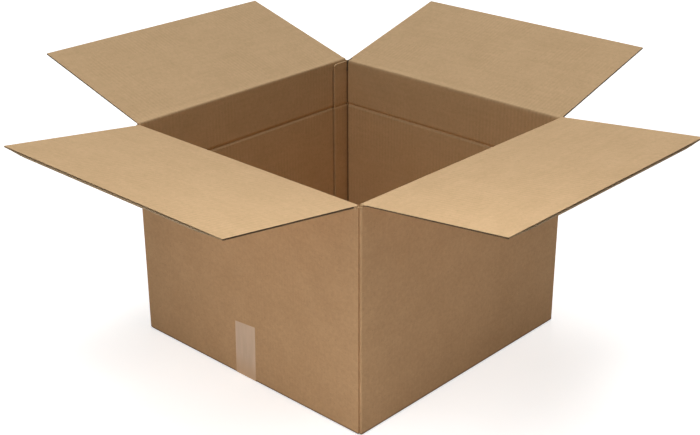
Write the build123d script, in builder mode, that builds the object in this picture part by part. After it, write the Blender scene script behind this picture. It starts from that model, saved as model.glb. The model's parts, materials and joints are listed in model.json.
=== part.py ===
from build123d import *
import os
from math import atan2, degrees, sin

# Square slotted carton of double-wall corrugated board, open at the top and taped along the bottom.
# Millimetres, +Z up. The origin is on the floor under the middle of the box, and the taped wall faces -Y.
# Outer flaps belong to the left and right walls, inner flaps to the front and back walls.

# Box: clear sizes between the walls, and from the bottom flaps up to the closed inner top flaps
inside_width = 508.0
inside_depth = 508.0
inside_height = 364.0

# Board: three liners, with a fine flute behind the outer one and a coarse flute behind the inner one
board = 7.0
liner = 0.35
flute_paper = 0.4
coarse_flute_height = 3.6
coarse_flute_pitch = 7.6
fine_flute_pitch = 6.2
flute_pocket_depth = 40.0
side_groove_depth = 2.5

# Folds: rounded on the outside, with a sagging lip where the front and back walls turn under
upright_fold_radius = 5.0
bottom_fold_radius = 5.0
lip_drop = 4.8
lip_radius = 3.0

# Slots and gaps between the flaps, and between boards that lie on each other
outer_flap_inset = 4.5
inner_flap_gap = 0.4
layer_gap = 0.3
top_meeting_gap = 0.5
bottom_seam_gap = 1.5

# Hinges: the line that a flap turns about, out from the wall's face, and the score either side of it
hinge_offset = 0.15
score_gap = 0.35

# Rise of each open flap above the level, in degrees
front_rise = 8.0
right_rise = 5.6
back_rise = 15.8
left_rise = 15.0

# Height score: the crease pressed round the inside, where the box can be cut down
height_score = 302.0
height_score_width = 9.0
height_score_depth = 2.0

# Glue tab: the crushed strip of the back wall that is stuck inside the left wall, and the crease at its fold
tab_width = 34.0
tab_thickness = 4.0
tab_slant = 7.0
tab_crease_width = 2.4
tab_crease_depth = 2.8

# Tape along the bottom seam and up the front and back walls, laid a little off line
tape_width = 48.0
tape_thickness = 0.15
tape_front_rise = 103.0
tape_back_rise = 96.0
tape_cut_slant = 4.0
tape_front_x = -2.7
tape_back_x = -4.0
tape_lean = 2.2
tape_edge_gap = 0.3

overrun = 2.0

# Places that follow from those sizes
half_width = inside_width / 2 + board
half_depth = inside_depth / 2 + board
foot_level = board + layer_gap
floor_level = foot_level + board
inner_score = floor_level + inside_height + board + hinge_offset
outer_score = inner_score + board + layer_gap
inner_wall_top = inner_score - score_gap
outer_wall_top = outer_score - score_gap
inner_flap_inset = board + inner_flap_gap
inner_flap_reach = min(half_width, half_depth)
fine_flute_height = board - 3 * liner - coarse_flute_height
tape_bend_radius = outer_flap_inset - layer_gap
tape_bend_level = tape_thickness + tape_bend_radius


def mitre(face, top):
    """Corners of the wedge that takes the inner side off a wall's top at half a right angle."""
    low = board + overrun
    return (face + overrun, top + overrun), (face - low, top - low), (face - low, top + overrun)


def floor_strip(half_length, edge_gap):
    """Corners of the tape's strip under the bottom, widened by a gap at each edge."""
    half = tape_width / 2 + edge_gap
    front = (tape_front_x - half, -half_length), (tape_front_x + half, -half_length)
    back = (tape_back_x + half, half_length), (tape_back_x - half, half_length)
    return *front, *back


# Carton body: four walls, the glue tab and the closed bottom flaps, all folded from the one blank
with BuildPart() as carton_body:
    with BuildSketch(Plane.XY.offset(foot_level)):
        RectangleRounded(2 * half_width, 2 * half_depth, upright_fold_radius)
        Rectangle(inside_width, inside_depth, mode=Mode.SUBTRACT)
    extrude(amount=outer_wall_top - foot_level)

    # The front and back walls stop one board lower, at the inner flaps' score
    with BuildSketch(Plane.XY.offset(inner_wall_top)):
        Rectangle(inside_width, 2 * (half_depth + overrun))
    extrude(amount=outer_wall_top - inner_wall_top + overrun, mode=Mode.SUBTRACT)

    # Wall tops slope down inwards, so that a flap can close over them
    with BuildSketch(Plane.XZ):
        Polygon(*mitre(half_width, outer_wall_top))
        mirror(about=Plane.YZ)
    extrude(amount=half_depth + overrun, both=True, mode=Mode.SUBTRACT)
    with BuildSketch(Plane.YZ):
        Polygon(*mitre(half_depth, inner_wall_top))
        mirror(about=Plane.YZ)
    extrude(amount=inside_width / 2, both=True, mode=Mode.SUBTRACT)

    # Outer bottom flaps lie on the floor and meet along the taped seam
    with BuildSketch(Plane.XZ) as outer_bottom:
        Polygon(
            (half_width, floor_level),
            (half_width, 0),
            (bottom_seam_gap / 2, 0),
            (bottom_seam_gap / 2, board),
            (inside_width / 2, board),
            (inside_width / 2, floor_level),
        )
        fillet(outer_bottom.vertices().group_by(Axis.Y)[0].sort_by(Axis.X)[-1], bottom_fold_radius)
        mirror(about=Plane.YZ)
    extrude(amount=half_depth - outer_flap_inset, both=True)

    # Inner bottom flaps lie on the outer ones, and their folds sag into the corner slots as a lip
    lip_level = foot_level - lip_drop
    lip_back = half_depth - outer_flap_inset + layer_gap
    inner_bottom_end = half_depth - inner_flap_reach + bottom_seam_gap / 2
    with BuildSketch(Plane.YZ) as inner_bottom:
        Polygon(
            (half_depth, floor_level),
            (half_depth, lip_level),
            (lip_back, lip_level),
            (lip_back, foot_level),
            (inner_bottom_end, foot_level),
            (inner_bottom_end, floor_level),
        )
        fillet(inner_bottom.vertices().group_by(Axis.Y)[0].sort_by(Axis.X)[-1], lip_radius)
        mirror(about=Plane.YZ)
    extrude(amount=half_width - inner_flap_inset, both=True)

    # Height score: a shallow V pressed into the four walls from inside
    score_slope = degrees(atan2(height_score_depth, height_score_width / 2))
    with BuildSketch(Plane.XY.offset(height_score)):
        Rectangle(inside_width + 2 * height_score_depth, inside_depth + 2 * height_score_depth)
    extrude(amount=height_score_width / 2 + overrun, both=True, taper=score_slope, mode=Mode.SUBTRACT)

    # Glue tab on the left wall, with slanted ends, below the left flap when that is closed
    tab_end = inside_depth / 2 - tab_width
    tab_top = outer_score - hinge_offset - board - layer_gap
    tab_foot = floor_level + layer_gap
    with BuildSketch(Plane.YZ.offset(-inside_width / 2)):
        Polygon(
            (inside_depth / 2, tab_foot),
            (inside_depth / 2, tab_top),
            (tab_end, tab_top - tab_slant),
            (tab_end, tab_foot + tab_slant),
        )
    extrude(amount=tab_thickness)

    # The height score crosses the tab as well
    tab_face = tab_thickness - inside_width / 2
    with BuildSketch(Plane.XZ.offset(-inside_depth / 2)):
        Polygon(
            (tab_face, height_score + height_score_width / 2),
            (tab_face - height_score_depth, height_score),
            (tab_face, height_score - height_score_width / 2),
        )
    extrude(amount=tab_width, mode=Mode.SUBTRACT)

    # The tab's own crease, beside the back wall
    with BuildSketch(Plane.XY.offset(tab_foot)):
        with Locations((tab_face, inside_depth / 2)):
            Rectangle(2 * tab_crease_depth, tab_crease_width, align=(Align.CENTER, Align.MAX))
    extrude(amount=tab_top - tab_foot + overrun, mode=Mode.SUBTRACT)

    # The tape is pressed into the underside, flush with the board
    with BuildSketch(Plane.XY):
        Polygon(*floor_strip(half_depth, tape_edge_gap))
    extrude(amount=tape_thickness, mode=Mode.SUBTRACT)


# Tape: one strip, along the seam and bent up the front and back walls, with its front end cut askew
with BuildPart() as bottom_tape:
    with BuildSketch(Plane.XY):
        Polygon(*floor_strip(half_depth - tape_bend_radius, 0))
    extrude(amount=tape_thickness)

    for side, middle, corner in ((-1, tape_front_x, Align.MAX), (1, tape_back_x, Align.MIN)):
        with BuildSketch(Plane.YZ.offset(middle - tape_width / 2)):
            with Locations((side * (half_depth - tape_bend_radius), tape_bend_level)):
                Circle(tape_bend_level)
                Circle(tape_bend_radius, mode=Mode.SUBTRACT)
                Rectangle(tape_bend_level, tape_bend_level, align=(corner, Align.MAX), mode=Mode.INTERSECT)
        extrude(amount=tape_width)

    with BuildSketch(Plane.XZ.offset(half_depth)):
        Polygon(
            (tape_front_x - tape_width / 2, tape_bend_level),
            (tape_front_x + tape_width / 2, tape_bend_level),
            (tape_front_x + tape_lean + tape_width / 2, tape_front_rise + tape_cut_slant / 2),
            (tape_front_x + tape_lean - tape_width / 2, tape_front_rise - tape_cut_slant / 2),
        )
    extrude(amount=tape_thickness)

    with BuildSketch(Plane.XZ.offset(-half_depth)):
        with Locations((tape_back_x, tape_bend_level)):
            Rectangle(tape_width, tape_back_rise - tape_bend_level, align=(Align.CENTER, Align.MIN))
    extrude(amount=-tape_thickness)


def flute_pockets(height, pitch):
    """The two hollows of one flute wave, one on each liner, narrowing to a point inside the board."""
    paper_run = flute_paper / sin(atan2(height, pitch / 2))
    base = pitch - paper_run
    rise = height * base / pitch
    with BuildSketch() as on_lower_liner:
        Polygon((-base / 2, 0), (base / 2, 0), (0, rise))
    with BuildSketch() as on_upper_liner:
        Polygon((pitch / 2 - base / 2, height), (pitch / 2, height - rise), (pitch / 2 + base / 2, height))
    with BuildPart() as pockets:
        for mouth in (on_lower_liner, on_upper_liner):
            face = mouth.sketch.face()
            tip = face.center() - Vector(0, 0, flute_pocket_depth)
            loft(sections=[face, Vertex(tip)], ruled=True)
    return pockets.part


coarse_pockets = flute_pockets(coarse_flute_height, coarse_flute_pitch)
fine_pockets = flute_pockets(fine_flute_height, fine_flute_pitch)
flute_rows = (
    (fine_pockets, fine_flute_height, fine_flute_pitch, liner),
    (coarse_pockets, coarse_flute_height, coarse_flute_pitch, 2 * liner + fine_flute_height),
)


def top_flap(bearing, wall_face, score, rise, length, left_end, right_end):
    """A top flap hinged along the wall that faces the bearing, its ends left and right as seen from inside.

    Its root is mitred to close on the wall's top, its free edge shows the flutes end on,
    and its side edges show them cut along their length.
    """
    outward = Vector(1, 0, 0).rotate(Axis.Z, bearing)
    along = outward.cross(Vector(0, 0, 1))
    lie = outward.rotate(Axis((0, 0, 0), along), rise)
    middle = outward * (wall_face + hinge_offset) + Vector(0, 0, score)
    hinge = Plane(origin=middle, x_dir=along, z_dir=along.cross(lie))
    width = left_end + right_end
    side = Plane(hinge.origin - hinge.x_dir * left_end, x_dir=hinge.y_dir, z_dir=hinge.x_dir)
    free_edge = Plane(
        hinge.origin + hinge.y_dir * length + hinge.z_dir * hinge_offset,
        x_dir=-hinge.x_dir,
        z_dir=hinge.y_dir,
    )
    with BuildPart() as flap:
        with BuildSketch(side):
            Polygon(
                (score_gap, hinge_offset),
                (length, hinge_offset),
                (length, hinge_offset + board),
                (score_gap + board, hinge_offset + board),
            )
        extrude(amount=width)
        for plane, inward in ((side, side_groove_depth), (side.offset(width), -side_groove_depth)):
            with BuildSketch(plane):
                for _, height, _, base in flute_rows:
                    groove_height = height - 2 * flute_paper
                    with Locations((0, hinge_offset + base + flute_paper)):
                        Rectangle(2 * (length + overrun), groove_height, align=(Align.CENTER, Align.MIN))
            extrude(amount=inward, mode=Mode.SUBTRACT)
        for pockets, _, pitch, base in flute_rows:
            count = int((width - 2 * side_groove_depth) / pitch) - 1
            with Locations(free_edge):
                with Locations(((left_end - right_end) / 2 - pitch / 4, base)):
                    with GridLocations(pitch, 0, count, 1):
                        add(pockets, mode=Mode.SUBTRACT)
    return flap.part


# Inner flaps fit between the side walls when closed, and the back one also clears the glue tab
inner_end = half_width - inner_flap_inset
outer_end = half_depth - outer_flap_inset
inner_length = inner_flap_reach + hinge_offset - top_meeting_gap / 2
outer_length = half_width + hinge_offset - top_meeting_gap / 2
top_flaps = {
    "front_flap": top_flap(-90, half_depth, inner_score, front_rise, inner_length, inner_end, inner_end),
    "right_flap": top_flap(0, half_width, outer_score, right_rise, outer_length, outer_end, outer_end),
    "back_flap": top_flap(
        90, half_depth, inner_score, back_rise, inner_length, inner_end - tab_thickness, inner_end
    ),
    "left_flap": top_flap(180, half_width, outer_score, left_rise, outer_length, outer_end, outer_end),
}

carton_body.part.label = "carton_body"
bottom_tape.part.label = "bottom_tape"
os.makedirs("parts", exist_ok=True)
export_step(carton_body.part, "parts/carton_body.step")
export_step(bottom_tape.part, "parts/bottom_tape.step")
for name, flap in top_flaps.items():
    flap.label = name
    export_step(flap, f"parts/{name}.step")
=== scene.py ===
import json
import math
import bmesh
import bpy
from mathutils import Matrix, Vector


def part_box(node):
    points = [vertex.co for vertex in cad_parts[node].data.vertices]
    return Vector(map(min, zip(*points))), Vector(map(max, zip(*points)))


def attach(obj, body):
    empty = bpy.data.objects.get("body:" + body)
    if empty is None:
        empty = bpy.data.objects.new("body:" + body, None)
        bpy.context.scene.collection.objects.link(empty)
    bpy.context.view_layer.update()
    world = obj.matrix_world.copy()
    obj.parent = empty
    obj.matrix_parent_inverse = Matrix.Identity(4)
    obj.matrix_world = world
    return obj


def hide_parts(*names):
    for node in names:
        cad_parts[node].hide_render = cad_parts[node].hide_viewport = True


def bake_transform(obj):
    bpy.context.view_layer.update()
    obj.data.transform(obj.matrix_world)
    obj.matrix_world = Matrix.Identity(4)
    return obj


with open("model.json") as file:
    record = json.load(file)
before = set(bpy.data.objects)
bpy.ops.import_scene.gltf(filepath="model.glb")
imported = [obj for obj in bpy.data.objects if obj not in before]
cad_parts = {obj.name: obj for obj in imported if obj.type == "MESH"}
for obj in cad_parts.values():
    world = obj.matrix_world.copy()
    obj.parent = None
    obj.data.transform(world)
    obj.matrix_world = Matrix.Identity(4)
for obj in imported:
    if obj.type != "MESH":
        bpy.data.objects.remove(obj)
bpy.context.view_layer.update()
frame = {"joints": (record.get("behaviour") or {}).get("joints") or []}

# Walls. One strip of double-wall corrugated board, folded at three corners and glued at the fourth. Its
# flutes run upright, between a brown kraft liner outside and a paler one inside. A crease runs beside each
# corner's nose, a height score is pressed round the inside, and the tops between the posts are crushed down.
MM = 0.001
tolerance = 0.01 * MM
same_place = 0.0001 * MM
board = 7.0 * MM
board_gap = 0.3 * MM
score_gap = 0.35 * MM
upright_fold = 5.0 * MM
upright_segments = 6
upright_crease = 2.3 * MM
# Degrees round the corner's nose between which the crease lies.
crease_from, crease_to = 10, 20
inner_fold = 0.25 * MM
_, wall_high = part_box("carton_body")
half_width, half_depth = wall_high.x, wall_high.y
inside_x, inside_y = half_width - board, half_depth - board
wall_foot = board + board_gap
floor_level = wall_foot + board
hinges = {joint["child"]: joint for joint in frame["joints"]}
front_top = hinges["flap_front"]["pos_m"][2] - score_gap
side_top = wall_high.z
post_inset = 0.3 * MM
post_edge = inside_x - post_inset
post_slope = 0.1 * MM
post_dip_outside = 2.1 * MM
post_dip_inside = 2.7 * MM
post_foot = 2.0 * MM
height_score = 302.0 * MM
score_reach = 6.0 * MM
# Levels of the height score from the top down: the rise above its middle, and the depth there.
score_profile = (
    (score_reach, 0.0),
    (2.2 * MM, 0.9 * MM),
    (0.0, 3.2 * MM),
    (-2.0 * MM, 0.9 * MM),
    (-4.5 * MM, 0.0),
)
tab_width = 34.0 * MM
tab_thickness = 4.0 * MM
crease_depth = 5.0 * MM
crease_width = 4.2 * MM
crease_slope = 0.1 * MM
dent_depth = 2.5 * MM
dent_width = 2.2 * MM
# Bands of depth behind the inside face: the lining with its score, and the sides of the groove.
lining_middle, lining_reach = board / 4, board / 3
groove_middle, groove_reach = board / 3, board / 3.2

OUTER_TONES = (0.49, 0.293, 0.146), (0.623, 0.387, 0.205)
INNER_TONES = (0.56, 0.372, 0.195), (0.69, 0.469, 0.26)
MEDIUM_TONES = (0.34, 0.215, 0.108), (0.46, 0.3, 0.158)
CUT_TONES = (0.75, 0.56, 0.35), (0.87, 0.67, 0.43)
# Near black: painted shade for the flaps' side edges and for the back fold over the tab's crease.
SHADE_PAINT_TONES = (0.06, 0.04, 0.022), (0.12, 0.08, 0.045)
COARSE_PITCH = 7.6 * MM
FINE_PITCH = 6.2 * MM
# Height of the flute ridges in the bump, and the weight of their painted light and shade in the colour.
OUTER_RIDGE_AND_SHADE = 0.015 * MM
INNER_RIDGE_AND_SHADE = 0.05 * MM
OUTER_STREAKS = 0.08
INNER_STREAKS = 0.19
STREAK_WEIGHT = 0.25
# Painted shade along the foot: how dark the outer liner is painted, and between which heights above the
# floor.
FOOT_SHADE = 0.9
FOOT_SHADE_LOW, FOOT_SHADE_HIGH = 1.5 * MM, 5.5 * MM
FIBRE_SCALES = 260, 1500
STREAK_SCALES = 11, 130
FORMATION_SCALE = 150.0
CLOUD_SCALE = 16.0
PATCH_SCALE = 9.0
FLECK_SCALE = 430.0


class Nodes:
    """The shader nodes of one material, with the few joins that the papers and the film need."""

    def __init__(self, name, roughness, specular):
        self.material = bpy.data.materials.new(name)
        self.material.use_nodes = True
        self.tree = self.material.node_tree
        self.shader = self.tree.nodes["Principled BSDF"]
        self.shader.inputs["Roughness"].default_value = roughness
        self.shader.inputs["Specular IOR Level"].default_value = specular
        self.coordinates = self.tree.nodes.new("ShaderNodeTexCoord")
        self.axes = self.parts(self.coordinates.outputs["Object"])

    def put(self, value, socket):
        if isinstance(value, (int, float)):
            socket.default_value = value
        elif isinstance(value, tuple):
            socket.default_value = (*value, 1)
        else:
            self.tree.links.new(value, socket)

    def parts(self, vector):
        node = self.tree.nodes.new("ShaderNodeSeparateXYZ")
        self.put(vector, node.inputs[0])
        return node.outputs

    def sum(self, operation, first, second=0.0):
        node = self.tree.nodes.new("ShaderNodeMath")
        node.operation = operation
        self.put(first, node.inputs[0])
        self.put(second, node.inputs[1])
        return node.outputs[0]

    def weighed(self, *terms):
        total = 0.0
        for value, weight in terms:
            total = self.sum("ADD", self.sum("MULTIPLY", value, weight), total)
        return total

    def cloud(self, scale, detail, stretch=(1, 1, 1)):
        spread = self.tree.nodes.new("ShaderNodeMapping")
        spread.inputs["Scale"].default_value = stretch
        self.put(self.coordinates.outputs["Object"], spread.inputs["Vector"])
        node = self.tree.nodes.new("ShaderNodeTexNoise")
        node.inputs["Scale"].default_value = scale
        node.inputs["Detail"].default_value = detail
        node.inputs["Roughness"].default_value = 0.6
        self.put(spread.outputs[0], node.inputs["Vector"])
        return node.outputs["Fac"]

    def between(self, value, low, high, start=0.0, end=1.0):
        node = self.tree.nodes.new("ShaderNodeMapRange")
        node.interpolation_type = "SMOOTHSTEP"
        for name, limit in (("From Min", low), ("From Max", high), ("To Min", start), ("To Max", end)):
            node.inputs[name].default_value = limit
        self.put(value, node.inputs["Value"])
        return node.outputs[0]

    def mixed(self, share, first, second):
        node = self.tree.nodes.new("ShaderNodeMix")
        node.data_type = "RGBA"
        self.put(share, node.inputs["Factor"])
        self.put(first, node.inputs[6])
        self.put(second, node.inputs[7])
        return node.outputs[2]

    def bumped(self, height):
        node = self.tree.nodes.new("ShaderNodeBump")
        node.inputs["Distance"].default_value = 1.0
        self.put(height, node.inputs["Height"])
        self.put(node.outputs[0], self.shader.inputs["Normal"])


def shaded(tone, share):
    """A darker or lighter tone of a colour."""
    return tuple(share * channel for channel in tone)


def kraft(name, tones, across, pitch, ridge_and_shade, streaked=0.0, foot_shade=0.0):
    """Kraft paper: cloudy, with fibres and streaks across the flutes, flecks, and flutes seen in patches as
    bump and as painted light and shade.
    """
    nodes = Nodes(name, roughness=0.85, specular=0.2)
    fibres = nodes.cloud(1.0, 3.0, [FIBRE_SCALES[axis != across] for axis in "XYZ"])
    streaks = nodes.cloud(1.0, 2.0, [STREAK_SCALES[axis != across] for axis in "XYZ"])
    formation = nodes.cloud(FORMATION_SCALE, 3.0)
    clouds = nodes.cloud(CLOUD_SCALE, 3.0)
    wave = nodes.sum("SINE", nodes.sum("MULTIPLY", nodes.axes[across], 2 * math.pi / pitch))
    wave = nodes.sum("MULTIPLY", wave, nodes.between(nodes.cloud(PATCH_SCALE, 2.0), 0.42, 0.62))
    # The flute wave also goes into the colour, as painted light and shade of the washboard ridges.
    tone = nodes.weighed((clouds, 0.28), (fibres, 0.3), (formation, 0.37), (wave, ridge_and_shade / MM))
    # The part of the streaks' weight that a paper doesn't use goes to an even tone.
    tone = nodes.weighed((tone, 1.0), (streaks, streaked), (0.5, STREAK_WEIGHT - streaked))
    paper = nodes.mixed(nodes.between(tone, 0.35, 0.85), *tones)
    flecks = nodes.between(nodes.cloud(FLECK_SCALE, 1.0), 0.64, 0.76, 0.0, 0.3)
    paper = nodes.mixed(flecks, paper, shaded(tones[0], 0.45))
    # Painted shade: near the floor the outer liner is painted much darker, in place of the shade under its
    # rounded foot.
    if foot_shade:
        foot_shade_share = nodes.between(nodes.axes["Z"], FOOT_SHADE_LOW, FOOT_SHADE_HIGH, foot_shade, 0.0)
        paper = nodes.mixed(foot_shade_share, paper, shaded(tones[0], 0.15))
    nodes.put(paper, nodes.shader.inputs["Base Color"])
    nodes.bumped(nodes.weighed((wave, 0.5 * ridge_and_shade), (fibres, 0.05 * MM), (formation, 0.12 * MM)))
    return nodes.material


outer_liners = [
    kraft("outer_liner_" + axis, OUTER_TONES, axis, FINE_PITCH, OUTER_RIDGE_AND_SHADE, OUTER_STREAKS, FOOT_SHADE)
    for axis in "XY"
]
inner_liners = [
    kraft("inner_liner_" + axis, INNER_TONES, axis, COARSE_PITCH, INNER_RIDGE_AND_SHADE, INNER_STREAKS)
    for axis in "XY"
]
flute_medium = kraft("flute_medium", MEDIUM_TONES, "Z", COARSE_PITCH, 0.0)
cut_paper = kraft("cut_paper", CUT_TONES, "Z", COARSE_PITCH, 0.0)
shut_edge = kraft("shut_edge", SHADE_PAINT_TONES, "Z", COARSE_PITCH, 0.0)
board_paints = [*outer_liners, *inner_liners, flute_medium, cut_paper, shut_edge]
OUTER_X, OUTER_Y, INNER_X, INNER_Y, MEDIUM, CUT, PAINTED_SHADE = range(len(board_paints))


def piece(name, mesh, paints):
    """The finished mesh as an object of the scene, at the origin."""
    data = bpy.data.meshes.new(name)
    mesh.to_mesh(data)
    mesh.free()
    made = bpy.data.objects.new(name, data)
    bpy.context.scene.collection.objects.link(made)
    for paint in paints:
        data.materials.append(paint)
    return made


def cut_across(mesh, point, normal):
    """New edges wherever the plane passes through the mesh."""
    whole = mesh.verts[:] + mesh.edges[:] + mesh.faces[:]
    bmesh.ops.bisect_plane(mesh, geom=whole, dist=same_place, plane_co=point, plane_no=normal)


def sharpen(mesh, angle):
    """Edges bent by more than the angle are drawn sharp."""
    for edge in mesh.edges:
        edge.smooth = edge.calc_face_angle(0) < math.radians(angle)


def shell(half_x, half_y, fold):
    """An upright four-sided tube, open at both ends, with folded corners and cuts beside each post."""
    tube = bmesh.new()
    size = Matrix.Diagonal((2 * half_x, 2 * half_y, side_top - wall_foot, 1))
    middle = Matrix.Translation((0, 0, (wall_foot + side_top) / 2))
    bmesh.ops.create_cube(tube, size=1.0, matrix=middle @ size)
    ends = [face for face in tube.faces if abs(face.normal.z) > 0.5]
    bmesh.ops.delete(tube, geom=ends, context="FACES")
    uprights = [edge for edge in tube.edges if abs(edge.verts[0].co.z - edge.verts[1].co.z) > board]
    bmesh.ops.bevel(
        tube,
        geom=uprights,
        offset=fold,
        segments=upright_segments,
        profile=0.5,
        affect="EDGES",
        material=-1,
    )
    for cut in (post_edge, post_edge - post_slope):
        for side in (-cut, cut):
            cut_across(tube, (side, 0, 0), (1, 0, 0))
            cut_across(tube, (0, side, 0), (0, 1, 0))
    return tube


def score_depth(level):
    """How deep the height score is pressed at one of its levels."""
    return sum(depth for rise, depth in score_profile if abs(level - height_score - rise) < tolerance)


def lower_rim(tube, mitre, post_dip):
    """Take the tube's top edge down to the two scores and, at the corners, to the posts' tops."""
    for vert in tube.verts:
        if vert.co.z > side_top - score_gap:
            beside_x, beside_y = (abs(value) < post_edge - post_slope / 2 for value in vert.co.xy)
            if beside_x:
                vert.co.z -= mitre + side_top - front_top
            elif beside_y:
                vert.co.z -= mitre
            else:
                vert.co.z -= post_dip


walls = shell(half_width, half_depth, upright_fold)
for vert in walls.verts:
    nose = Vector((abs(vert.co.x) - half_width + upright_fold, abs(vert.co.y) - half_depth + upright_fold))
    if crease_from < math.degrees(math.atan2(nose.x, nose.y)) < crease_to:
        vert.co.x -= math.copysign(nose.x, vert.co.x) * upright_crease / upright_fold
        vert.co.y -= math.copysign(nose.y, vert.co.y) * upright_crease / upright_fold
lower_rim(walls, 0, post_dip_outside)
lining = shell(inside_x, inside_y, inner_fold)
lower_rim(lining, board, post_dip_inside)
for rise, _ in score_profile:
    cut_across(lining, (0, 0, height_score + rise), (0, 0, 1))
for vert in lining.verts:
    vert.co.xy *= 1 + score_depth(vert.co.z) / inside_x
bmesh.ops.reverse_faces(lining, faces=lining.faces[:])
lining_mesh = bpy.data.meshes.new("lining")
lining.to_mesh(lining_mesh)
lining.free()
walls.from_mesh(lining_mesh)
bpy.data.meshes.remove(lining_mesh)
for at_foot in (True, False):
    open_edges = [edge for edge in walls.edges if edge.is_boundary]
    rim = [edge for edge in open_edges if (edge.verts[0].co.z < floor_level) == at_foot]
    bmesh.ops.bridge_loops(walls, edges=rim)
for vert in walls.verts:
    in_post = min(abs(vert.co.x), abs(vert.co.y)) > post_edge - post_slope / 2
    if in_post and vert.co.z < wall_foot + board_gap:
        vert.co.z = post_foot
crease_start = tab_thickness - inside_x
crease_end = crease_start + crease_width
dent_start = inside_y - tab_width
for inset in (0, crease_slope, crease_width - crease_slope, crease_width):
    cut_across(walls, (crease_start + inset, 0, 0), (1, 0, 0))
for inset in (0, crease_slope, dent_width - crease_slope, dent_width):
    cut_across(walls, (0, dent_start - inset, 0), (0, 1, 0))
for vert in walls.verts:
    in_crease = crease_slope / 2 < vert.co.x - crease_start < crease_width - crease_slope / 2
    if in_crease and abs(vert.co.y - inside_y - lining_middle) < lining_reach:
        vert.co.y += crease_depth
    in_dent = crease_slope / 2 < dent_start - vert.co.y < dent_width - crease_slope / 2
    if in_dent and abs(-vert.co.x - inside_x - lining_middle) < lining_reach:
        vert.co.x -= dent_depth
walls.normal_update()
for face in walls.faces:
    middle = face.calc_center_median()
    across_y = abs(face.normal.x) > abs(face.normal.y)
    outside = face.normal.xy.dot(middle.xy) > 0 and face.normal.z < 0.3
    beside_tab = 0 < middle.x - crease_start < crease_width
    in_groove = abs(middle.y - inside_y - groove_middle) < groove_reach
    face.material_index = ((OUTER_X, OUTER_Y) if outside else (INNER_X, INNER_Y))[across_y]
    # The groove's faces take the darker flute-medium paint: painted shade deep in the tab's crease.
    if beside_tab and in_groove and abs(face.normal.z) < 0.5:
        face.material_index = MEDIUM
    face.smooth = not outside and abs(middle.z - height_score) < score_reach
sharpen(walls, 45)
carton_walls = piece("carton_walls", walls, board_paints)
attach(carton_walls, "carton")
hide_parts("carton_body")

# Bottom flaps. The outer ones are the left and right walls turned under, the inner ones the front and back
# walls, whose lips show below. They lie board on board, meet along the middle, and the tape holds the seam.
outer_inset = 4.5 * MM
inner_gap = 0.4 * MM
inner_inset = board + inner_gap
bottom_seam = 1.5 * MM
lip_drop = 6.6 * MM
lip_radius = 1.6 * MM
foot_radius = 2.5 * MM
round_segments = 5
sunk = 0.05 * MM


def prism(mesh, outline, place, length, rounded=(), radius=0.0):
    """A flat outline of (u, v) points, placed, drawn out along its third axis, with some edges rounded."""
    corners = [mesh.verts.new(place @ Vector((u, v, 0))) for u, v in outline]
    face = mesh.faces.new(corners)
    drawn = bmesh.ops.extrude_face_region(mesh, geom=[face])
    far = [item for item in drawn["geom"] if isinstance(item, bmesh.types.BMVert)]
    bmesh.ops.translate(mesh, verts=far, vec=place.to_3x3() @ Vector((0, 0, length)))
    if rounded:
        folds = [edge for index in rounded for edge in corners[index].link_edges
                 if edge.other_vert(corners[index]) in far]
        bmesh.ops.bevel(
            mesh,
            geom=folds,
            offset=radius,
            segments=round_segments,
            profile=0.5,
            affect="EDGES",
            material=-1,
        )


def standing(u, v, out):
    """The matrix that takes an outline's u, v and length to three directions."""
    return Matrix((Vector(u), Vector(v), Vector(out))).transposed().to_4x4()


bottom = bmesh.new()
for side in (-1, 1):
    outline = [
        (bottom_seam / 2, 0),
        (half_width - sunk, 0),
        (half_width - sunk, floor_level),
        (inside_x, floor_level),
        (inside_x, board),
        (bottom_seam / 2, board),
    ]
    start = Matrix.Translation((0, side * (half_depth - outer_inset), 0))
    lie = standing((side, 0, 0), (0, 0, 1), (0, -side, 0))
    prism(bottom, outline, start @ lie, 2 * (half_depth - outer_inset), rounded=(1,), radius=foot_radius)
    lip = half_depth - outer_inset + board_gap
    outline = [
        (bottom_seam / 2, wall_foot),
        (lip, wall_foot),
        (lip, wall_foot - lip_drop),
        (half_depth - sunk, wall_foot - lip_drop),
        (half_depth - sunk, floor_level),
        (bottom_seam / 2, floor_level),
    ]
    start = Matrix.Translation((-side * (half_width - inner_inset), 0, 0))
    lie = standing((0, side, 0), (0, 0, 1), (side, 0, 0))
    prism(bottom, outline, start @ lie, 2 * (half_width - inner_inset), rounded=(3,), radius=lip_radius)
bmesh.ops.recalc_face_normals(bottom, faces=bottom.faces[:])
for face in bottom.faces:
    across_y = abs(face.normal.x) > abs(face.normal.y)
    face.material_index = ((INNER_X, INNER_Y) if face.normal.z > 0.6 else (OUTER_X, OUTER_Y))[across_y]
    face.smooth = 0.05 < abs(face.normal.z) < 0.95
bottom_flaps = piece("bottom_flaps", bottom, board_paints)
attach(bottom_flaps, "carton")

# Glue tab. A strip of the back wall, crushed thin, folded round the back left corner and glued inside the
# left wall. Its crease is an open groove beside the back wall, its free edge lifts a little, and its ends
# are cut on the slant.
tab_crease = 0.1 * MM
tab_lift = 1.7 * MM
tab_drop = 2.3 * MM
tab_top = side_top - tab_drop
tab_slant_run = 7.8 * MM
tab_slant_rise = 2.7 * MM
tab_score_share = 0.6
tab = bmesh.new()
tab_free = inside_y - tab_width
outline = [
    (inside_y - tab_crease, floor_level),
    (inside_y - tab_crease, tab_top),
    (tab_free + tab_slant_run, tab_top),
    (tab_free, tab_top - tab_slant_rise),
    (tab_free, floor_level + tab_slant_rise),
    (tab_free + tab_slant_run, floor_level),
]
at_wall = Matrix.Translation((tab_lift - inside_x, 0, 0)) @ standing((0, 1, 0), (0, 0, 1), (1, 0, 0))
prism(tab, outline, at_wall, tab_thickness - tab_lift)
for rise, _ in score_profile:
    cut_across(tab, (0, 0, height_score + rise), (0, 0, 1))
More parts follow.
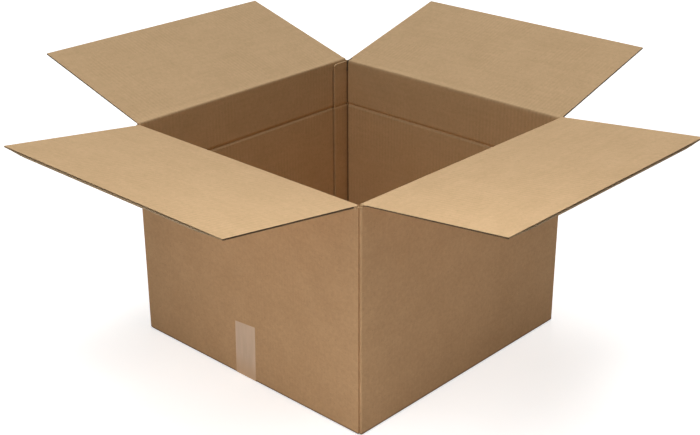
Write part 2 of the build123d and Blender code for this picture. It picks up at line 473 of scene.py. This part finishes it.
for vert in tab.verts:
    if vert.co.x > tab_thickness - tolerance - inside_x:
        vert.co.x -= tab_score_share * score_depth(vert.co.z)
bmesh.ops.recalc_face_normals(tab, faces=tab.faces[:])
for face in tab.faces:
    face.material_index = INNER_Y
    face.smooth = abs(face.calc_center_median().z - height_score) < score_reach
sharpen(tab, 45)
glue_tab = piece("glue_tab", tab, board_paints)
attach(glue_tab, "carton")

# Top flaps. The same double-wall board as the walls: outer liner, fine flute, middle liner, coarse flute and
# inner liner. The free edge is cut across and shows the flutes end on, the slots' knives press the two side
# edges thin and shut, and the scoring rolls have thinned the roots of the side flaps.
# The side faces of every paper and the bars that close the core are painted near black, as painted shade
# along the crushed edges.
liner = 0.5 * MM
coarse_paper = 0.45 * MM
fine_paper = 0.62 * MM
coarse_height = 3.5 * MM
fine_height = board - 3 * liner - coarse_height
hinge_offset = 0.15 * MM
side_crush = 60.0 * MM
side_thickness_share = 0.45
side_thickness_least = 2.2 * MM
side_recess = 0.4 * MM
side_shut = 1.2 * MM
edge_thickness = 5.4 * MM
root_thickness = {"front": 6.6 * MM, "right": 1.9 * MM, "back": 6.6 * MM, "left": 1.9 * MM}
flap_length = 260.9 * MM
liner_columns = 160
columns_per_flute = 8
paper_rows = 3
paper_root = {
    "outer_liner": 3 * score_gap,
    "fine_flute": board / 2,
    "middle_liner": 0.7 * board,
    "coarse_flute": board,
    "inner_liner": score_gap + board,
}
UP = Vector((0, 0, 1))


def smooth_step(share):
    """A share from 0 to 1, eased at both ends."""
    share = min(max(share, 0.0), 1.0)
    return share * share * (3 - 2 * share)


def hinge_frame(side):
    """The hinge's middle and direction, the way out of the wall, the flap's rise at rest and its ends."""
    joint = hinges["flap_" + side]
    middle = Vector(joint["pos_m"])
    along = Vector(joint["axis"])
    rise = math.radians(180 - joint["range_deg"][1])
    ends = sorted((corner - middle).dot(along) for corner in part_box(side + "_flap"))
    return middle, along, UP.cross(along), rise, ends


def add_paper(mesh, ends, root, columns, top, thickness, paint, wave=0.0, pitch=1.0):
    """One paper of the board, from its root to the free edge: a liner, or a flute where it has a wave."""
    before = set(mesh.faces)
    size = Matrix.Diagonal(((ends[1] - ends[0]) / 2, (flap_length - root) / 2, 1, 1))
    middle = Matrix.Translation(((ends[0] + ends[1]) / 2, (flap_length + root) / 2, top))
    place = middle @ size
    made = bmesh.ops.create_grid(mesh, x_segments=columns, y_segments=paper_rows, size=1.0, matrix=place)
    for vert in made["verts"]:
        vert.co.z += 0.5 * wave * math.sin(2 * math.pi * vert.co.x / pitch)
    sheet = [face for face in mesh.faces if face not in before]
    bmesh.ops.solidify(mesh, geom=sheet, thickness=thickness)
    for face in mesh.faces:
        if face not in before:
            middle = face.calc_center_median()
            at_edge = paint == MEDIUM and middle.y > flap_length - tolerance
            at_side = min(middle.x - ends[0], ends[1] - middle.x) < tolerance
            face.material_index = CUT if at_edge else paint
            # Side faces of every paper are painted near black: painted shade along the crushed side edges.
            if at_side:
                face.material_index = PAINTED_SHADE
            face.smooth = True


def pressed(place, ends, root):
    """Where a point of the flat board lies once its root is scored and its side edges are crushed."""
    thick = root + (edge_thickness - root) * place.y / flap_length
    edge = min(place.x - ends[0], ends[1] - place.x) / side_crush
    total = thick * (side_thickness_share + (1 - side_thickness_share) * smooth_step(edge))
    total = max(total, min(thick, side_thickness_least))
    skin = min(liner, 0.25 * total)
    if place.z < liner:
        level = place.z * skin / liner
    elif place.z > board - liner:
        level = total - (board - place.z) * skin / liner
    else:
        level = skin + (place.z - liner) * (total - 2 * skin) / (board - 2 * liner)
    return hinge_offset + thick - total + level


for side in ("front", "right", "back", "left"):
    hinge, along, outward, rise, ends = hinge_frame(side)
    inner, outer = (INNER_X, OUTER_X) if abs(along.x) > 0.5 else (INNER_Y, OUTER_Y)
    shut = ends[0] + side_recess, ends[1] - side_recess
    core = shut[0] + side_shut, shut[1] - side_shut
    fine_columns = columns_per_flute * round((core[1] - core[0]) / FINE_PITCH)
    coarse_columns = columns_per_flute * round((core[1] - core[0]) / COARSE_PITCH)
    fine_top = liner + (fine_height + fine_paper) / 2
    middle_top = 2 * liner + fine_height
    coarse_top = middle_top + (coarse_height + coarse_paper) / 2
    flap = bmesh.new()
    fine = fine_height - fine_paper, FINE_PITCH
    coarse = coarse_height - coarse_paper, COARSE_PITCH
    add_paper(flap, ends, paper_root["outer_liner"], liner_columns, liner, liner, outer)
    add_paper(flap, core, paper_root["fine_flute"], fine_columns, fine_top, fine_paper, MEDIUM, *fine)
    add_paper(flap, core, paper_root["middle_liner"], liner_columns, middle_top, liner, MEDIUM)
    coarse_root = paper_root["coarse_flute"]
    add_paper(flap, core, coarse_root, coarse_columns, coarse_top, coarse_paper, MEDIUM, *coarse)
    # Bars close the core along the crushed side edges; they are painted near black, as painted shade.
    for side_edge in ((shut[0], core[0]), (core[1], shut[1])):
        add_paper(flap, side_edge, coarse_root, 1, board - liner, board - 2 * liner, PAINTED_SHADE)
    add_paper(flap, ends, paper_root["inner_liner"], liner_columns, board, liner, inner)
    # The root is cut on the slant, so that the closed flap clears the wall's mitred top.
    for vert in flap.verts:
        vert.co.z = pressed(vert.co, ends, root_thickness[side])
        vert.co.y = max(vert.co.y, vert.co.z + score_gap)
    lie = outward * math.cos(rise) + UP * math.sin(rise)
    at_hinge = Matrix.Translation(hinge) @ standing(along, lie, along.cross(lie))
    bmesh.ops.transform(flap, matrix=at_hinge, verts=flap.verts[:])
    bmesh.ops.recalc_face_normals(flap, faces=flap.faces[:])
    sharpen(flap, 50)
    flap_board = piece(side + "_flap_board", flap, board_paints)
    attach(flap_board, "flap_" + side)
    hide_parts(side + "_flap")

# Top folds. Along each score the board is crushed and bends as one thick paper hinge: the inner liner runs
# up the wall, over the crown and onto the flap, and the outer liner closes the angle outside.
crown_height = {"front": 6.9 * MM, "right": 2.1 * MM, "back": 6.9 * MM, "left": 2.1 * MM}
crown_back = 2.4 * MM
lap_past_board = 8.0 * MM
fold_lap = board + lap_past_board
fold_end_gap = 0.4 * MM
fold_skin = 0.5 * MM
fold_cuts = 95
proud = 0.05 * MM
shoulder_highest = -2.0 * MM
shoulder_drop = 5.0 * MM
crown_steps = 8
flap_start = 1.0 * MM
flap_start_under = 2.0 * MM
hinge_lift = 0.2 * MM
hinge_dip = 0.1 * MM
inner_face = -(board + hinge_offset)
for side in ("front", "right", "back", "left"):
    hinge, along, outward, rise, ends = hinge_frame(side)
    lie = Vector((math.cos(rise), math.sin(rise)))
    normal = Vector((-math.sin(rise), math.cos(rise)))
    crown = crown_height[side]
    shoulder = Vector((inner_face - proud, min(shoulder_highest, crown - shoulder_drop)))
    corner = Vector((inner_face - proud, crown))
    top = Vector((-crown_back, crown))
    root_level = hinge_offset + root_thickness[side]
    lap_level = root_level + (edge_thickness - root_thickness[side]) * fold_lap / flap_length
    outline = [Vector((inner_face + fold_skin, -fold_lap)), Vector((inner_face + proud, -fold_lap))]
    for step in range(crown_steps + 1):
        share = step / crown_steps
        outline.append((1 - share) ** 2 * shoulder + 2 * share * (1 - share) * corner + share ** 2 * top)
    outline += [
        lie * flap_start + normal * (root_level + proud),
        lie * fold_lap + normal * (lap_level - proud),
        lie * fold_lap + normal * (lap_level - fold_skin),
        lie * flap_start_under + normal * (root_level - fold_skin),
        lie * 1.2 * score_gap + normal * (hinge_offset + hinge_lift),
        Vector((0.0, -hinge_dip)),
        Vector((-hinge_offset, -score_gap - hinge_lift)),
        Vector((inner_face + fold_skin, -board - fold_skin)),
    ]
    fold = bmesh.new()
    start = Matrix.Translation(hinge + along * (ends[0] + fold_end_gap))
    length = ends[1] - ends[0] - 2 * fold_end_gap
    prism(fold, [tuple(point) for point in outline], start @ standing(outward, UP, along), length)
    long_edges = [edge for edge in fold.edges if edge.calc_length() > length / 2]
    bmesh.ops.subdivide_edges(fold, edges=long_edges, cuts=fold_cuts, use_grid_fill=True)
    # Over the tab's crease the back fold is painted near black: painted shade carrying the crease's dark
    # line up over the crown.
    if side == "back":
        cut_across(fold, (crease_end, 0, 0), (1, 0, 0))
    bmesh.ops.recalc_face_normals(fold, faces=fold.faces[:])
    for face in fold.faces:
        in_crease = side == "back" and face.calc_center_median().x < crease_end
        face.material_index = INNER_X if abs(along.x) > 0.5 else INNER_Y
        if in_crease:
            face.material_index = PAINTED_SHADE
        face.smooth = True
    sharpen(fold, 35)
    top_fold = piece(side + "_fold", fold, board_paints)
    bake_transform(top_fold)

# Bottom tape. A strip of thin clear packing film along the bottom seam, pressed up the front and back walls.
# Its glue wets the paper in streaks and more near the floor, so the film looks glossier than the board and
# milky, most of all along its edges.
tape_width = 48.0 * MM
tape_film = 0.1 * MM
tape_clear = 0.06 * MM
tape_bend = 1.8 * MM
tape_front_rise = 103.0 * MM
tape_front_slant = 4.0 * MM
tape_front_lean = 2.2 * MM
tape_front_x = -2.7 * MM
tape_back_rise = 96.0 * MM
tape_back_x = -4.0 * MM
tape_columns = 12
wall_rows = 12
bend_rows = 6
bottom_rows = 12
front_end = wall_rows
front_bend_end = front_end + bend_rows
bottom_end = front_bend_end + bottom_rows
back_bend_end = bottom_end + bend_rows
tape_rows = back_bend_end + wall_rows
cut_rows = 2
cut_row_share = 0.012
wetted_low, wetted_high = 4.0 * MM, 46.0 * MM
FILM_TONES = (0.618, 0.434, 0.287), (0.68, 0.48, 0.327)
FILM_STREAK_SCALES = 95, 95, 14
packing_film = Nodes("packing_film", roughness=0.3, specular=0.5)
across, along_strip, _ = packing_film.parts(packing_film.coordinates.outputs["UV"])
streaks = packing_film.cloud(1.0, 2.0, FILM_STREAK_SCALES)
film = packing_film.mixed(packing_film.between(streaks, 0.3, 0.7), *FILM_TONES)
left_rim = packing_film.between(across, 0.0, 0.07, 0.8, 0.0)
right_rim = packing_film.between(across, 0.78, 0.97, 0.0, 0.5)
cut_rim = packing_film.between(along_strip, 0.0, 1 / tape_rows, 1.0, 0.0)
rim_share = packing_film.sum("MAXIMUM", left_rim, right_rim)
rim_share = packing_film.sum("MAXIMUM", rim_share, cut_rim)
film = packing_film.mixed(rim_share, film, shaded(FILM_TONES[1], 1.08))
wetted = packing_film.between(packing_film.axes["Z"], wetted_low, wetted_high, 0.85, 0.0)
film = packing_film.mixed(wetted, film, OUTER_TONES[1])
packing_film.put(film, packing_film.shader.inputs["Base Color"])
packing_film.bumped(packing_film.weighed((streaks, 0.1 * MM)))


def tape_place(share, row):
    """A point of the film: share of its width from the left, and row from the front end to the back end."""
    level = tape_clear + tape_film
    bend_top = tape_bend + level
    near = half_depth - tape_bend
    offset = (share - 0.5) * tape_width
    if row <= front_end:
        top = tape_front_rise + tape_front_slant * (share - 0.5)
        cut_share = cut_row_share * min(row, cut_rows)
        rest_share = max(row - cut_rows, 0) / (wall_rows - cut_rows)
        down = cut_share + rest_share * (1 - cut_row_share * cut_rows)
        z = top + (bend_top - top) * down
        lean = tape_front_lean * (z - bend_top) / (tape_front_rise - bend_top)
        return Vector((tape_front_x + offset + lean, -half_depth - level, z))
    if row <= front_bend_end:
        angle = (row - front_end) / bend_rows * math.pi / 2
        y = -near - (tape_bend + level) * math.cos(angle)
        return Vector((tape_front_x + offset, y, bend_top - (tape_bend + level) * math.sin(angle)))
    if row <= bottom_end:
        way = (row - front_bend_end) / bottom_rows
        middle = tape_front_x + (tape_back_x - tape_front_x) * way
        return Vector((middle + offset, near * (2 * way - 1), 0))
    if row <= back_bend_end:
        angle = (row - bottom_end) / bend_rows * math.pi / 2
        y = near + (tape_bend + level) * math.sin(angle)
        return Vector((tape_back_x + offset, y, bend_top - (tape_bend + level) * math.cos(angle)))
    z = bend_top + (tape_back_rise - bend_top) * (row - back_bend_end) / wall_rows
    return Vector((tape_back_x + offset, half_depth + level, z))


strip = bmesh.new()
strip.loops.layers.uv.new("UVMap")
bmesh.ops.create_grid(strip, x_segments=tape_columns, y_segments=tape_rows, size=0.5, calc_uvs=True)
for vert in strip.verts:
    vert.co = tape_place(vert.co.x + 0.5, round((vert.co.y + 0.5) * tape_rows))
strip.normal_update()
bmesh.ops.solidify(strip, geom=strip.faces[:], thickness=-tape_film)
bmesh.ops.recalc_face_normals(strip, faces=strip.faces[:])
for face in strip.faces:
    face.smooth = True
sharpen(strip, 40)
bottom_film = piece("bottom_film", strip, [packing_film.material])
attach(bottom_film, "carton")
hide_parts("bottom_tape")

# Studio. A pale floor that keeps the shadow, a white surround, soft lamps overhead and near the floor, and a
# camera at the photograph's angle. None of it is part of the box.
floor_drop = 0.4 * MM
floor_reach = 12.0
FLOOR_GLOW = 0.72
floor_mesh = bmesh.new()
under = Matrix.Translation((0, 0, -floor_drop))
bmesh.ops.create_grid(floor_mesh, x_segments=1, y_segments=1, size=floor_reach, matrix=under)
floor_paint = bpy.data.materials.new("studio_floor")
floor_paint.use_nodes = True
floor_tree = floor_paint.node_tree
floor_shader = floor_tree.nodes["Principled BSDF"]
floor_shader.inputs["Base Color"].default_value = (0.8, 0.8, 0.8, 1)
floor_shader.inputs["Roughness"].default_value = 0.9
floor_shader.inputs["Specular IOR Level"].default_value = 0.0
floor_shader.inputs["Emission Color"].default_value = (1, 1, 1, 1)


def seen_rays(tree):
    """One for the rays that show the surround: from the camera, in gloss and through film."""
    rays = tree.nodes.new("ShaderNodeLightPath")
    total = rays.outputs["Is Camera Ray"]
    for kind in ("Is Glossy Ray", "Is Transmission Ray"):
        larger = tree.nodes.new("ShaderNodeMath")
        larger.operation = "MAXIMUM"
        tree.links.new(total, larger.inputs[0])
        tree.links.new(rays.outputs[kind], larger.inputs[1])
        total = larger.outputs[0]
    return total


glow = floor_tree.nodes.new("ShaderNodeMath")
glow.operation = "MULTIPLY"
glow.inputs[1].default_value = FLOOR_GLOW
floor_tree.links.new(seen_rays(floor_tree), glow.inputs[0])
floor_tree.links.new(glow.outputs[0], floor_shader.inputs["Emission Strength"])
studio_floor = piece("studio_floor", floor_mesh, [floor_paint])

SURROUND = 0.1
world = bpy.data.worlds.new("studio")
bpy.context.scene.world = world
world.use_nodes = True
sky_tree = world.node_tree
sky = sky_tree.nodes["Background"]
sky.inputs["Color"].default_value = (1, 1, 1, 1)
brightness = sky_tree.nodes.new("ShaderNodeMapRange")
brightness.inputs["To Min"].default_value = SURROUND
brightness.inputs["To Max"].default_value = 1.0
sky_tree.links.new(seen_rays(sky_tree), brightness.inputs["Value"])
sky_tree.links.new(brightness.outputs[0], sky.inputs["Strength"])


def soft_box(name, place, target, size, power, spread=180):
    """A soft lamp, so wide and so high, at a place and facing its target."""
    light = bpy.data.lights.new(name, "AREA")
    light.shape = "RECTANGLE"
    light.size, light.size_y = size
    light.spread = math.radians(spread)
    light.energy = power
    lamp = bpy.data.objects.new(name, light)
    lamp.location = place
    lamp.rotation_euler = (Vector(target) - Vector(place)).to_track_quat("-Z", "Y").to_euler()
    lamp.visible_camera = False
    bpy.context.scene.collection.objects.link(lamp)


soft_box("back_overhead", (-2.0, 2.3, 4.6), (0.0, 0.0, 0.39), (2.1, 2.1), 147.0)
soft_box("front_overhead", (0.1, -0.9, 1.5), (0.1, -0.35, 0.39), (0.55, 0.55), 5.8)
soft_box("corner_overhead", (0.58, -0.46, 1.4), (0.58, -0.459, 0.39), (0.4, 0.4), 0.7, spread=65)
soft_box("right_overhead", (0.62, 0.42, 1.5), (0.62, 0.421, 0.39), (0.4, 0.4), 0.6, spread=100)
soft_box("low_front", (0.15, -0.87, 0.05), (0.12, -0.26, 0.07), (0.6, 0.08), 1.45)
soft_box("low_side", (0.95, -0.16, 0.06), (0.26, -0.13, 0.1), (0.7, 0.1), 1.05)

photo_width = 700
focal_pixels = 1274.1
eye = bpy.data.cameras.new("camera")
eye.sensor_width = 36.0
eye.lens = focal_pixels / photo_width * eye.sensor_width
camera = bpy.data.objects.new("camera", eye)
camera.location = (1.4035, -1.504, 1.127)
azimuth, elevation, roll = (math.radians(angle) for angle in (43.11, 23.98, -0.2))
turned = Matrix.Rotation(azimuth, 3, "Z") @ Matrix.Rotation(math.pi / 2 - elevation, 3, "X")
camera.rotation_euler = (turned @ Matrix.Rotation(roll, 3, "Z")).to_euler()
bpy.context.scene.collection.objects.link(camera)
bpy.context.scene.camera = camera
bpy.context.scene.view_settings.view_transform = "Standard"
